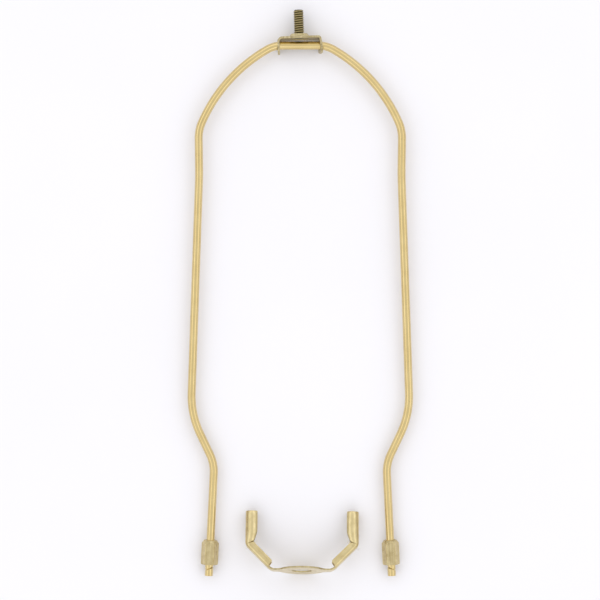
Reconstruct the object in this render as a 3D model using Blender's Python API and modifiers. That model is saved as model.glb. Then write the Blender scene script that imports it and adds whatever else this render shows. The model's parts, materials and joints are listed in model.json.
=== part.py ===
"""Detachable lamp harp lying on a table, with its saddle taken off and laid between its feet."""

import math

import bmesh
import bpy
from mathutils import Matrix, Vector

MM = 0.001

# Fits
TOUCH_GAP = 0.3 * MM            # between pieces that rest against each other
SLEEVE_SLIP = 0.2 * MM          # radial, sleeve's top hole on the wire
SOCKET_SLIP = 0.1 * MM          # radial, foot in the saddle's ear
LOCK_SLIP = 0.15 * MM           # radial, sleeve over the saddle's ear
HINGE_SLIP = 0.55 * MM          # radial, wire in the bracket's tabs
CUT_OVER = 1.0 * MM             # how far a cutter runs past what it cuts

# Wire bow: each bend ends at a slope, taken from level down to the crown and from upright below it
WIRE_DIAMETER = 4.3 * MM
TOP_BEND_INSET = 1.0 * MM       # the first bend starts this far inside the bracket's tabs
TOP_BEND_RADIUS = 16.3 * MM
CROWN_START_SLOPE = 30.0
CROWN_RADIUS = 84.0 * MM
CROWN_END_SLOPE = 66.0
SHOULDER_RADIUS = 21.5 * MM
SHOULDER_LEAN = 0.8             # degrees inwards
SHOULDER_LENGTH = 16.4 * MM
SPLAY_RADIUS = 120.0 * MM
LEG_SPLAY = 2.0                 # degrees outwards
LEG_LENGTH = 113.8 * MM
UPPER_JOG_RADIUS = 47.0 * MM
JOG_LEAN = 25.4                 # degrees inwards
JOG_LENGTH = 12.1 * MM
LOWER_JOG_RADIUS = 22.0 * MM
FOOT_SPLAY = 2.8                # degrees outwards
FOOT_LEG_LENGTH = 54.6 * MM     # lower jog to the end of the pin
BEND_STEP = 5.0                 # degrees between two rings of a bend

# Swaged foot: a plain pin, and above it the collar that keeps the sleeve on
PIN_LENGTH = 3.9 * MM
PIN_CHAMFER = 0.4 * MM
COLLAR_RISE = 0.4 * MM          # radial, above the wire
COLLAR_TAPER = 2.2 * MM
COLLAR_LENGTH = 11.8 * MM
COLLAR_SHOULDER = 0.3 * MM
GROOVE_RADIUS = 0.3 * MM        # press mark round the top of the pin
GROOVE_TILT = 22.0

# Hexagonal locking sleeves
SLEEVE_LENGTH = 13.1 * MM
SLEEVE_WALL = 0.4 * MM          # between the bore and a flat
SLEEVE_TOP_WALL = 1.0 * MM
SLEEVE_EDGE_ROUND = 0.35 * MM
SLEEVE_TOP_CHAMFER = 1.35 * MM  # radial, off the corners
SLEEVE_CHAMFER_SLOPE = 1.33     # height for each unit of radius
SLEEVE_FOOT_CHAMFER = 0.4 * MM

# Swivel bracket, pressed and folded from one strip
BRACKET_SHEET = 1.15 * MM
BRACKET_SPAN = 23.5 * MM
BRACKET_DEPTH = 12.7 * MM
BRACKET_ASIDE = -0.4 * MM       # where it has slid to along the wire
BRACKET_LEAN = 1.8              # degrees, play on the wire
WIRE_GAP = 1.25 * MM            # wire to the underside of the strip
LEFT_FOLD_RADIUS = 2.8 * MM
RIGHT_FOLD_RADIUS = 1.7 * MM
TAB_DROP = 4.6 * MM             # end of the tabs below the wire's axis
TAB_END_RADIUS = 4.5 * MM
TAB_TWIST = 10.0                # degrees, right tab sprung out of square
BOSS_BASE_DIAMETER = 11.7 * MM
BOSS_TOP_DIAMETER = 8.4 * MM
BOSS_RISE = 1.7 * MM
BOSS_DRAW = 0.05 * MM           # radial, pocket's mouth inside the foot of the boss

# Finial stud, held in the boss by its head
STUD_DIAMETER = 5.3 * MM
STUD_LENGTH = 12.7 * MM         # above the boss
STUD_CHAMFER = 0.5 * MM
STUD_HEAD_DIAMETER = 8.6 * MM
STUD_HEAD_THICKNESS = 0.9 * MM
STUD_HEAD_CHAMFER = 0.2 * MM

# Saddle, pressed and folded from one sheet; sizes are of its outer surface
SADDLE_SHEET = 0.9 * MM
SADDLE_WIDTH = 60.6 * MM
SADDLE_HEIGHT = 31.8 * MM
SADDLE_FLAT = 33.6 * MM         # between the arms, where their lines meet the plate
ARM_SLOPE = 45.0
ARM_DEPTH = 4.3 * MM
ARM_EDGE_RADIUS = 2.0 * MM
NECK_BEND_RADIUS = 5.0 * MM
NECK_WIDTH = 6.6 * MM
NECK_FILLET = 4.0 * MM
CORNER_BEND_RADIUS = 5.2 * MM
FLANGE_RUN = 1.0 * MM           # length in which an arm's flange rises from the neck
EAR_SLANT = 5.6 * MM            # length of the slanted edge under the ear
EAR_DEPTH = 6.4 * MM
NOTCH_FLOOR = 1.5 * MM          # web left under the notch at the corner
NOTCH_ANGLE = 14.0
PLATE_DIAMETER = 24.0 * MM
SLIP_HOLE_DIAMETER = 10.4 * MM
SADDLE_ASIDE = 0.8 * MM         # where it lies, right of the harp's middle
SADDLE_SET_BACK = 3.4 * MM      # and inside the line of the feet
SADDLE_TURN = -0.5              # degrees

# Fineness of the faces
TURN_STEPS = 40                 # sides of a turned piece
WIRE_RESOLUTION = 6
GROOVE_SIDES = 8
ROUND_STEPS = 3                 # faces across a sleeve's rounded edge
FOLD_STEP = 15.0                # degrees between two rows of a bracket's fold or round corner
STRIP_COLUMNS = 3               # columns of faces on each side of the bracket's middle line
PRESSED_STEPS = 8               # faces down a pressed step
SHEET_COLUMNS = 8               # columns of faces on each side of the saddle's middle line
PLATE_ROWS = 14                 # rows of faces from the saddle's middle to its neck
BEND_ROWS = 6
RUN_ROWS = 4                    # in a stretch whose section changes
STRAIGHT_ROWS = 2
SHARP_ANGLE = 35.0              # degrees between faces, above which an edge isn't shaded smooth
MERGE_DISTANCE = 1e-6
NEARLY_FLAT = 1e-3              # share of a fold below which the sheet counts as flat

# Sizes that follow
WIRE_RADIUS = WIRE_DIAMETER / 2
COLLAR_RADIUS = WIRE_RADIUS + COLLAR_RISE
COLLAR_FOOT = PIN_LENGTH + COLLAR_TAPER
COLLAR_TOP = COLLAR_FOOT + COLLAR_LENGTH
EAR_RADIUS = COLLAR_RADIUS + SOCKET_SLIP + SADDLE_SHEET
SLEEVE_BORE_RADIUS = EAR_RADIUS + LOCK_SLIP
SLEEVE_FLATS = 2 * (SLEEVE_BORE_RADIUS + SLEEVE_WALL)
SLEEVE_REST = COLLAR_TOP + TOUCH_GAP + SLEEVE_TOP_WALL - SLEEVE_LENGTH
STRIP_UNDER = WIRE_RADIUS + WIRE_GAP
STRIP_TOP = STRIP_UNDER + BRACKET_SHEET
BOSS_TOP = STRIP_TOP + BOSS_RISE
STUD_TOP = BOSS_TOP + STUD_LENGTH


class Route:
    """A flat path of straights and bends, set one after the other from the origin along +X."""

    def __init__(self):
        self.pieces = []
        self.length = 0.0
        self.end = Vector((0, 0, 0))
        self.heading = 0.0

    def add(self, length, curvature):
        self.pieces.append((self.length, length, curvature, self.end, self.heading))
        self.end, self.heading = self.step(self.pieces[-1], length)
        self.length += length

    def straight(self, length):
        self.add(length, 0.0)

    def bend(self, radius, degrees):
        """Bend until the heading, counted from +X, is the one given."""
        turn = math.radians(degrees) - self.heading
        self.add(radius * abs(turn), math.copysign(1 / radius, turn))

    @staticmethod
    def step(piece, distance):
        _, _, curvature, start, heading = piece
        if not curvature:
            return start + distance * Vector((math.cos(heading), math.sin(heading), 0)), heading
        turned = heading + distance * curvature
        move = Vector((math.sin(turned) - math.sin(heading), math.cos(heading) - math.cos(turned), 0))
        return start + move / curvature, turned

    def at(self, distance):
        """Return the place and heading at a distance along the path."""
        piece = [p for p in self.pieces if p[0] <= distance][-1]
        return self.step(piece, distance - piece[0])

    def marks(self, degrees):
        """Return the distances of both ends of every straight and of points this close on a bend."""
        found = [0.0]
        for start, length, curvature, _, _ in self.pieces:
            count = max(1, math.ceil(length * abs(curvature) / math.radians(degrees)))
            found += [start + length * i / count for i in range(1, count + 1)]
        return found


def mix(low, high, share):
    return low + (high - low) * share


def spread(low, high, count):
    """Return evenly spaced values after low, the last of them high."""
    return [mix(low, high, i / count) for i in range(1, count + 1)]


def ease(value, low, high):
    """Return how far value is from low to high, eased at both ends."""
    share = min(1.0, max(0.0, (value - low) / (high - low)))
    return share * share * (3 - 2 * share)


def material(name, colour, roughness):
    made = bpy.data.materials.new(name)
    made.use_nodes = True
    shader = made.node_tree.nodes["Principled BSDF"]
    shader.inputs["Base Color"].default_value = (*colour, 1.0)
    shader.inputs["Metallic"].default_value = 1.0
    shader.inputs["Roughness"].default_value = roughness
    return made


def add(name, data, group, parent=None, place=Matrix()):
    made = bpy.data.objects.new(name, data)
    group.objects.link(made)
    made.parent = parent
    made.matrix_local = place
    return made


def finish(part, finish_material):
    part.data.materials.clear()
    part.data.materials.append(finish_material)
    part.data.shade_smooth()
    part.data.set_sharp_from_angle(angle=math.radians(SHARP_ANGLE))
    return part


def boolean(part, tool, operation="DIFFERENCE"):
    tool.hide_render = True
    tool.display_type = "WIRE"
    modifier = part.modifiers.new(tool.name, "BOOLEAN")
    modifier.operation = operation
    modifier.solver = "EXACT"
    modifier.object = tool


def turned(name, profile, group, parent, place):
    """Turn a profile of (radius, height) points, listed from the top down, about local Z."""
    mesh = bpy.data.meshes.new(name)
    points = [(radius, 0.0, height) for radius, height in profile]
    mesh.from_pydata(points, [(i, i + 1) for i in range(len(points) - 1)], [])
    part = add(name, mesh, group, parent, place)
    screw = part.modifiers.new("turn", "SCREW")
    screw.steps = TURN_STEPS
    screw.render_steps = TURN_STEPS
    screw.use_merge_vertices = True
    screw.merge_threshold = MERGE_DISTANCE
    return part


def sheet(name, rows, group, parent, place):
    """Make an open surface of faces between rows of points; Solidify gives it its thickness."""
    mesh = bpy.data.meshes.new(name)
    across = len(rows[0])
    faces = []
    for i in range(len(rows) - 1):
        for j in range(across - 1):
            corner = i * across + j
            faces.append((corner, corner + 1, corner + across + 1, corner + across))
    mesh.from_pydata([point for row in rows for point in row], [], faces)
    return add(name, mesh, group, parent, place)


def thicken(part, thickness):
    solid = part.modifiers.new("thickness", "SOLIDIFY")
    solid.thickness = thickness
    solid.offset = -1.0
    solid.use_even_offset = True


def outline_tool(name, corners, half_thickness, group, parent, place):
    """Make a closed flat outline of (x, y) corners into a solid, to cut with."""
    curve = bpy.data.curves.new(name, "CURVE")
    curve.dimensions = "2D"
    curve.fill_mode = "BOTH"
    curve.extrude = half_thickness
    spline = curve.splines.new("POLY")
    spline.points.add(len(corners) - 1)
    spline.use_cyclic_u = True
    for point, (x, y) in zip(spline.points, corners):
        point.co = (x, y, 0.0, 1.0)
    return curve_to_mesh(add(name, curve, group, parent, place), group)


def curve_to_mesh(source, group):
    """Replace a curve object by a welded mesh object in the same place."""
    bpy.context.view_layer.update()
    seen = source.evaluated_get(bpy.context.evaluated_depsgraph_get())
    mesh = bpy.data.meshes.new_from_object(seen)
    welded = bmesh.new()
    welded.from_mesh(mesh)
    bmesh.ops.remove_doubles(welded, verts=welded.verts, dist=MERGE_DISTANCE)
    welded.to_mesh(mesh)
    welded.free()
    name, parent, place = source.name, source.parent, source.matrix_local.copy()
    bpy.data.objects.remove(source)
    return add(name, mesh, group, parent, place)


def along(place, direction):
    """Return a frame with Z along a direction in the harp's plane and Y out of that plane."""
    up = Vector((0, 0, 1))
    side = up.cross(direction)
    frame = Matrix((side, up, direction)).transposed().to_4x4()
    frame.translation = place
    return frame


def wire_route():
    """Return the centre line of the bow's right half, from the middle of its top to the pin's end."""
    route = Route()
    route.straight(BRACKET_SPAN / 2 - BRACKET_SHEET - TOP_BEND_INSET)
    route.bend(TOP_BEND_RADIUS, -CROWN_START_SLOPE)
    route.bend(CROWN_RADIUS, -CROWN_END_SLOPE)
    route.bend(SHOULDER_RADIUS, -90 - SHOULDER_LEAN)
    route.straight(SHOULDER_LENGTH)
    route.bend(SPLAY_RADIUS, -90 + LEG_SPLAY)
    route.straight(LEG_LENGTH)
    route.bend(UPPER_JOG_RADIUS, -90 - JOG_LEAN)
    route.straight(JOG_LENGTH)
    route.bend(LOWER_JOG_RADIUS, -90 + FOOT_SPLAY)
    route.straight(FOOT_LEG_LENGTH)
    return route


def foot_stations():
    """Return (height above the pin's end, radius) down the foot from the plain wire."""
    return [
        (COLLAR_TOP, WIRE_RADIUS),
        (COLLAR_TOP - COLLAR_SHOULDER, COLLAR_RADIUS),
        (COLLAR_FOOT, COLLAR_RADIUS),
        (PIN_LENGTH, WIRE_RADIUS),
        (PIN_CHAMFER, WIRE_RADIUS),
        (0.0, WIRE_RADIUS - PIN_CHAMFER),
    ]


def mirrored(point):
    return Vector((-point.x, point.y, point.z))


def foot_frames(route):
    """Return the frames of the left and right foot: origin at the pin's end, Z up the leg."""
    up = Vector((-math.cos(route.heading), -math.sin(route.heading), 0))
    return {"left": along(mirrored(route.end), mirrored(up)), "right": along(route.end, up)}


def build_wire(route, group, tools, parent):
    right = [(route.at(mark)[0], WIRE_RADIUS) for mark in route.marks(BEND_STEP)[:-1]]
    up = Vector((-math.cos(route.heading), -math.sin(route.heading), 0))
    right += [(route.end + height * up, radius) for height, radius in foot_stations()]
    left = [(mirrored(point), radius) for point, radius in reversed(right[1:])]
    curve = bpy.data.curves.new("harp_wire", "CURVE")
    curve.dimensions = "3D"
    curve.bevel_depth = WIRE_RADIUS
    curve.bevel_resolution = WIRE_RESOLUTION
    curve.use_fill_caps = True
    spline = curve.splines.new("POLY")
    stations = left + right
    spline.points.add(len(stations) - 1)
    for point, (place, radius) in zip(spline.points, stations):
        point.co = (*place, 1.0)
        point.radius = radius / WIRE_RADIUS
    wire = curve_to_mesh(add("harp_wire", curve, group, parent), group)
    for side, frame in foot_frames(route).items():
        boolean(wire, groove_tool(side, frame, tools, parent))
    return wire


def groove_tool(side, foot, tools, parent):
    """Make the tilted ring that presses the slanting mark where the collar runs out in the pin."""
    bpy.ops.mesh.primitive_torus_add(
        major_segments=TURN_STEPS,
        minor_segments=GROOVE_SIDES,
        major_radius=WIRE_RADIUS,
        minor_radius=GROOVE_RADIUS,
    )
    ring = bpy.context.object
    mesh = ring.data
    bpy.data.objects.remove(ring)
    tilt = GROOVE_TILT if side == "left" else -GROOVE_TILT
    height = Matrix.Translation((0, 0, PIN_LENGTH))
    place = foot @ height @ Matrix.Rotation(math.radians(tilt), 4, "Y")
    return add(side + "_groove", mesh, tools, parent, place)


def hexagonal_bar(name, flats, length, edge_round, group, parent, place):
    """Make a six-sided bar standing on local Z = 0, with flats facing local Y."""
    mesh = bpy.data.meshes.new(name)
    bar = bmesh.new()
    corner = flats / 2 / math.cos(math.radians(30))
    middle = Matrix.Translation((0, 0, length / 2)) @ Matrix.Rotation(math.radians(30), 4, "Z")
    bmesh.ops.create_cone(
        bar, cap_ends=True, segments=6, radius1=corner, radius2=corner, depth=length, matrix=middle
    )
    uprights = [edge for edge in bar.edges if abs(edge.verts[0].co.z - edge.verts[1].co.z) > length / 2]
    bmesh.ops.bevel(
        bar, geom=uprights, offset=edge_round, segments=ROUND_STEPS, profile=0.5, affect="EDGES"
    )
    bar.to_mesh(mesh)
    bar.free()
    return add(name, mesh, group, parent, place)


def build_sleeve(side, foot, group, tools, parent):
    """Make a sleeve at the bottom of its travel, with its top wall on the foot's collar."""
    place = foot @ Matrix.Translation((0, 0, SLEEVE_REST))
    sleeve = hexagonal_bar(
        side + "_sleeve", SLEEVE_FLATS, SLEEVE_LENGTH, SLEEVE_EDGE_ROUND, group, parent, place
    )
    corner = SLEEVE_FLATS / 2 / math.cos(math.radians(30))
    outside = corner + CUT_OVER
    top_face = corner - SLEEVE_TOP_CHAMFER
    bottom_face = corner - SLEEVE_FOOT_CHAMFER
    envelope = [
        (0.0, SLEEVE_LENGTH + CUT_OVER),
        (top_face - CUT_OVER / SLEEVE_CHAMFER_SLOPE, SLEEVE_LENGTH + CUT_OVER),
        (outside, SLEEVE_LENGTH - (outside - top_face) * SLEEVE_CHAMFER_SLOPE),
        (outside, outside - bottom_face),
        (bottom_face - CUT_OVER, -CUT_OVER),
        (0.0, -CUT_OVER),
    ]
    boolean(sleeve, turned(side + "_chamfers", envelope, tools, parent, place), "INTERSECT")
    hole = WIRE_RADIUS + SLEEVE_SLIP
    ceiling = SLEEVE_LENGTH - SLEEVE_TOP_WALL
    bore = [
        (0.0, SLEEVE_LENGTH + CUT_OVER),
        (hole, SLEEVE_LENGTH + CUT_OVER),
        (hole, ceiling),
        (SLEEVE_BORE_RADIUS, ceiling),
        (SLEEVE_BORE_RADIUS, -CUT_OVER),
        (0.0, -CUT_OVER),
    ]
    boolean(sleeve, turned(side + "_bore", bore, tools, parent, place))
    return sleeve


def tab_width(height_from_end):
    """Return half the width of a tab, whose end has round corners."""
    reach = BRACKET_DEPTH / 2
    if height_from_end >= TAB_END_RADIUS:
        return reach
    short = TAB_END_RADIUS - height_from_end
    return reach - TAB_END_RADIUS + math.sqrt(TAB_END_RADIUS ** 2 - short ** 2)


def bracket_rows():
    """Return rows of points across the strip's outer surface, from one tab's end to the other's."""
    height = STRIP_TOP + TAB_DROP
    route = Route()
    route.heading = math.radians(90)
    route.end = Vector((-BRACKET_SPAN / 2, -TAB_DROP, 0))
    route.straight(height - LEFT_FOLD_RADIUS)
    route.bend(LEFT_FOLD_RADIUS, 0)
    route.straight(BRACKET_SPAN - LEFT_FOLD_RADIUS - RIGHT_FOLD_RADIUS)
    route.bend(RIGHT_FOLD_RADIUS, -90)
    route.straight(height - RIGHT_FOLD_RADIUS)
    steps = round(90 / FOLD_STEP)
    corner = [TAB_END_RADIUS * (1 - math.cos(math.pi / 2 * i / steps)) for i in range(steps + 1)]
    marks = corner + route.marks(FOLD_STEP)[1:-1] + [route.length - near for near in reversed(corner)]
    tab = height - RIGHT_FOLD_RADIUS
    rows = []
    for mark in sorted(marks):
        place, _ = route.at(mark)
        half = tab_width(min(mark, route.length - mark))
        twist = math.radians(TAB_TWIST) * max(0.0, mark - (route.length - tab)) / tab
        across = [half * j / STRIP_COLUMNS for j in range(-STRIP_COLUMNS, STRIP_COLUMNS + 1)]
        rows.append([place + Vector((z * math.sin(twist), 0, z * math.cos(twist))) for z in across])
    return rows


def pressed_step(base, top, low, high):
    """Return (radius, height) points, top down, of a pressed step that eases in at both ends."""
    points = []
    for i in range(PRESSED_STEPS + 1):
        share = i / PRESSED_STEPS
        points.append((mix(top, base, share), mix(high, low, (1 - math.cos(math.pi * share)) / 2)))
    return points


def build_bracket(group, tools, parent, wire_frame):
    bracket = sheet("swivel_bracket", bracket_rows(), group, parent, Matrix())
    thicken(bracket, BRACKET_SHEET)
    upright = Matrix.Rotation(math.radians(-90), 4, "X")
    base = BOSS_BASE_DIAMETER / 2
    top = BOSS_TOP_DIAMETER / 2
    inside = STRIP_UNDER + BRACKET_SHEET / 2
    boss = [(0.0, BOSS_TOP)] + pressed_step(base, top, STRIP_TOP, BOSS_TOP) + [(base, inside), (0.0, inside)]
    boolean(bracket, turned("boss", boss, tools, parent, upright), "UNION")
    ceiling = BOSS_TOP - BRACKET_SHEET
    mouth = base - BOSS_DRAW
    hole = STUD_DIAMETER / 2 + TOUCH_GAP
    room = STUD_HEAD_DIAMETER / 2 + TOUCH_GAP
    pocket = [(0.0, BOSS_TOP + CUT_OVER), (hole, BOSS_TOP + CUT_OVER), (hole, ceiling)]
    pocket += pressed_step(mouth, room, STRIP_UNDER, ceiling)
    pocket += [(mouth, STRIP_UNDER - WIRE_GAP), (0.0, STRIP_UNDER - WIRE_GAP)]
    boolean(bracket, turned("pocket", pocket, tools, parent, upright))
    bore = WIRE_RADIUS + HINGE_SLIP
    reach = BRACKET_SPAN
    rod = [(0.0, reach), (bore, reach), (bore, -reach), (0.0, -reach)]
    sideways = Matrix.Rotation(math.radians(90), 4, "Y")
    boolean(bracket, turned("wire_holes", rod, tools, wire_frame, sideways))
    return bracket


def build_stud(group, parent):
    """Make the stud with its origin on its axis, level with the strip's underside."""
    radius = STUD_DIAMETER / 2
    head = STUD_HEAD_DIAMETER / 2
    head_top = BOSS_TOP - BRACKET_SHEET - TOUCH_GAP - STRIP_UNDER
    head_bottom = head_top - STUD_HEAD_THICKNESS
    top = STUD_TOP - STRIP_UNDER
    profile = [
        (0.0, top),
        (radius - STUD_CHAMFER, top),
        (radius, top - STUD_CHAMFER),
        (radius, head_top),
        (head - STUD_HEAD_CHAMFER, head_top),
        (head, head_top - STUD_HEAD_CHAMFER),
        (head, head_bottom + STUD_HEAD_CHAMFER),
        (head - STUD_HEAD_CHAMFER, head_bottom),
        (0.0, head_bottom),
    ]
    place = Matrix.Translation((0, STRIP_UNDER, 0)) @ Matrix.Rotation(math.radians(-90), 4, "X")
    return turned("finial_stud", profile, group, parent, place)


def saddle_route():
    """Return the outer surface's middle line, from the plate's centre to the right ear's top."""
    neck = NECK_BEND_RADIUS * math.tan(math.radians(ARM_SLOPE / 2))
    corner = CORNER_BEND_RADIUS * math.tan(math.radians((90 - ARM_SLOPE) / 2))
    run = (SADDLE_WIDTH - SADDLE_FLAT) / 2
    rise = run * math.tan(math.radians(ARM_SLOPE))
    route = Route()
    route.straight(SADDLE_FLAT / 2 - neck)
    route.bend(NECK_BEND_RADIUS, ARM_SLOPE)
    route.straight(math.hypot(run, rise) - neck - corner)
    route.bend(CORNER_BEND_RADIUS, 90)
    route.straight(SADDLE_HEIGHT - rise - corner)
    return route


def plate_half_width(distance):
    """Return half the width of the round plate and of the neck that it runs into by a fillet."""
    radius = PLATE_DIAMETER / 2
    neck = NECK_WIDTH / 2
    centre = math.sqrt((radius + NECK_FILLET) ** 2 - (neck + NECK_FILLET) ** 2)
    if distance >= centre:
        return neck
    if distance <= centre * radius / (radius + NECK_FILLET):
        return math.sqrt(radius ** 2 - distance ** 2)
    return neck + NECK_FILLET - math.sqrt(NECK_FILLET ** 2 - (centre - distance) ** 2)


def folded(width, flat, radius, fold, share):
    """Return (across, inwards) of a point this far from the middle of a folded section.

    The section is flat up to a width, then bends to the fold's angle and runs on straight. The
    share says how far the fold has been closed.
    """
    if share < NEARLY_FLAT or width <= flat:
        return width, 0.0
    bent = min(width - flat, radius * fold)
    angle = share * bent / radius
    rest = width - flat - bent
    across = flat + radius / share * math.sin(angle) + rest * math.cos(angle)
    inwards = radius / share * (1 - math.cos(angle)) + rest * math.sin(angle)
    return across, inwards


def saddle_rows():
    """Return rows of points across the outer surface of the saddle's right half."""
    route = saddle_route()
    neck_start, neck_end, corner_start, corner_end = [piece[0] for piece in route.pieces[1:]]
    arm_width = EAR_RADIUS - ARM_EDGE_RADIUS + ARM_EDGE_RADIUS * math.pi / 2 + ARM_DEPTH - ARM_EDGE_RADIUS
    ear_fold = math.pi - math.acos(EAR_DEPTH / EAR_RADIUS - 1)
    ear_width = EAR_RADIUS * ear_fold
    slant_end = corner_end + EAR_SLANT
    flange_end = neck_end + FLANGE_RUN
    marks = [neck_start * math.sin(math.pi / 2 * i / PLATE_ROWS) for i in range(PLATE_ROWS + 1)]
    marks += spread(neck_start, neck_end, BEND_ROWS)
    marks += spread(neck_end, flange_end, RUN_ROWS)
    marks += spread(flange_end, corner_start, STRAIGHT_ROWS)
    marks += spread(corner_start, corner_end, BEND_ROWS)
    marks += spread(corner_end, slant_end, RUN_ROWS)
    marks += spread(slant_end, route.length, STRAIGHT_ROWS)
    rows = []
    for mark in marks:
        place, heading = route.at(mark)
        inward = Vector((-math.sin(heading), math.cos(heading), 0))
        share = ease(mark, neck_start, neck_end)
        ear = ease(mark, corner_start, slant_end)
        if mark <= neck_end:
            width = plate_half_width(mark)
        elif mark <= corner_end:
            width = mix(NECK_WIDTH / 2, arm_width, ease(mark, neck_end, flange_end))
        else:
            width = mix(arm_width, ear_width, min(1.0, (mark - corner_end) / EAR_SLANT))
        radius = mix(ARM_EDGE_RADIUS, EAR_RADIUS, ear)
        fold = mix(math.pi / 2, ear_fold, ear)
        row = []
        for j in range(SHEET_COLUMNS, -SHEET_COLUMNS - 1, -1):
            across, depth = folded(width * abs(j) / SHEET_COLUMNS, EAR_RADIUS - radius, radius, fold, share)
            row.append(place + depth * inward + Vector((0, 0, math.copysign(across, j))))
        rows.append(row)
    return rows


def notch_tool(side, tools, parent):
    """Make the wedge that notches the flanges where the arm is folded to the ear."""
    route = saddle_route()
    corner = route.pieces[3]
    place, heading = route.at(corner[0] + corner[1] / 2)
    inward = Vector((-math.sin(heading), math.cos(heading), 0))
    if side == "left":
        place, inward = mirrored(place), mirrored(inward)
    long = EAR_DEPTH + CUT_OVER
    half = math.tan(math.radians(NOTCH_ANGLE / 2)) * long
    frame = Matrix((inward, Vector((0, 0, 1)).cross(inward), Vector((0, 0, 1)))).transposed().to_4x4()
    frame.translation = place + NOTCH_FLOOR * inward
    wedge = [(0.0, 0.0), (long, half), (long, -half)]
    return outline_tool(side + "_notch", wedge, EAR_RADIUS + CUT_OVER, tools, parent, frame)


def build_saddle(group, tools, parent):
    saddle = sheet("saddle", saddle_rows(), group, parent, Matrix())
    mirror = saddle.modifiers.new("both sides", "MIRROR")
    mirror.merge_threshold = MERGE_DISTANCE
    thicken(saddle, SADDLE_SHEET)
    radius = SLIP_HOLE_DIAMETER / 2
    above = SADDLE_SHEET + CUT_OVER
    plug = [(0.0, above), (radius, above), (radius, -CUT_OVER), (0.0, -CUT_OVER)]
    upright = Matrix.Rotation(math.radians(-90), 4, "X")
    boolean(saddle, turned("slip_hole", plug, tools, parent, upright))
    for side in ("left", "right"):
        boolean(saddle, notch_tool(side, tools, parent))
    return saddle


def harp_rest(route):
    """Return the frame of the bow as it lies on the sleeves' flats and the bracket's edge."""
    high = Vector((TAB_END_RADIUS - TAB_DROP, BRACKET_DEPTH / 2))
    low = Vector((route.end.y + SLEEVE_REST, SLEEVE_FLATS / 2))
    slope = math.atan2(high.y - low.y, high.x - low.x)
    rise = high.y * math.cos(slope) - high.x * math.sin(slope)
    middle = -(STUD_TOP + route.end.y) / 2 * math.cos(slope)
    return Matrix.Translation((0, middle, rise)) @ Matrix.Rotation(slope, 4, "X")


def saddle_rest(foot_end):
    """Return the frame of the saddle as it lies on the plate's rim and the tops of its ears."""
    rim = PLATE_DIAMETER / 2
    slope = math.atan2(rim - EAR_RADIUS, SADDLE_HEIGHT - SADDLE_SHEET)
    rise = rim * math.cos(slope) + SADDLE_SHEET * math.sin(slope)
    place = Matrix.Translation((SADDLE_ASIDE, foot_end + SADDLE_SET_BACK, rise))
    turn = Matrix.Rotation(math.radians(SADDLE_TURN), 4, "Z")
    return place @ turn @ Matrix.Rotation(-slope, 4, "X")


def main():
    for old in list(bpy.data.objects):
        bpy.data.objects.remove(old)
    group = bpy.data.collections.new("lamp_harp")
    tools = bpy.data.collections.new("cutters")
    bpy.context.scene.collection.children.link(group)
    bpy.context.scene.collection.children.link(tools)
    plated = material("brass plated wire", (0.68, 0.53, 0.26), 0.22)
    dull = material("dull brass plate", (0.52, 0.45, 0.27), 0.38)
    bronze = material("dark plated thread", (0.22, 0.19, 0.11), 0.42)

    route = wire_route()
    lie = add("harp_lie", None, group, None, harp_rest(route))
    feet = foot_frames(route)
    finish(build_wire(route, group, tools, lie), plated)
    for side in ("left", "right"):
        finish(build_sleeve(side, feet[side], group, tools, lie), dull)
    lean = Matrix.Rotation(math.radians(BRACKET_LEAN), 4, "Z")
    seat = add("bracket_seat", None, group, lie, Matrix.Translation((BRACKET_ASIDE, 0, 0)) @ lean)
    finish(build_bracket(group, tools, seat, lie), dull)
    finish(build_stud(group, seat), bronze)

    foot_end = (harp_rest(route) @ route.end).y
    bed = add("saddle_lie", None, group, None, saddle_rest(foot_end))
    finish(build_saddle(group, tools, bed), plated)


main()
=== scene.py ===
import json
import math

import bmesh
import bpy
from mathutils import Matrix, Vector


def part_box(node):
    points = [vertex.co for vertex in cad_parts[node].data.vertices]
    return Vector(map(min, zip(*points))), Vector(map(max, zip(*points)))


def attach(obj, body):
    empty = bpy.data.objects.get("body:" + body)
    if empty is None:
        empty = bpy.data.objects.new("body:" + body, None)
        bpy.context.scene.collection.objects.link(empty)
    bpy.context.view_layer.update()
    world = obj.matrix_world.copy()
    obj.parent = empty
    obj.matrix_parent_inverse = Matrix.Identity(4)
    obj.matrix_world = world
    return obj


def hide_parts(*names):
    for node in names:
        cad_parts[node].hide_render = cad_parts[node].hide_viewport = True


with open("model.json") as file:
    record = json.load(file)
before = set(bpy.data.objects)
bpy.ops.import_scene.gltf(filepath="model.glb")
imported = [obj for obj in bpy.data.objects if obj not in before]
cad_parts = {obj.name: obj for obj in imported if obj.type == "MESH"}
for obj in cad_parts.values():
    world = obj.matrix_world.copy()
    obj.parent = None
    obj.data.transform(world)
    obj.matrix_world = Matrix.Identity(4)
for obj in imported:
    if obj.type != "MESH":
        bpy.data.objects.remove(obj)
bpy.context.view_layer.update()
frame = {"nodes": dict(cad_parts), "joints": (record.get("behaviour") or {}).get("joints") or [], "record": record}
print("frame loaded:", ", ".join(sorted(frame["nodes"])))

mm = 0.001
softEdgeAngle = 34  # degrees; a sharper edge keeps its line


# frames of the pieces, read from the joints and mounts; pieces are modelled in millimetres inside them

def frameFrom(origin, across, forward):
    across = Vector(across).normalized()
    forward = Vector(forward).normalized()
    out = across.cross(forward)
    turned = Matrix((across, forward, out)).transposed().to_4x4()
    turned.translation = origin
    return turned @ Matrix.Scale(mm, 4)


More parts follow.
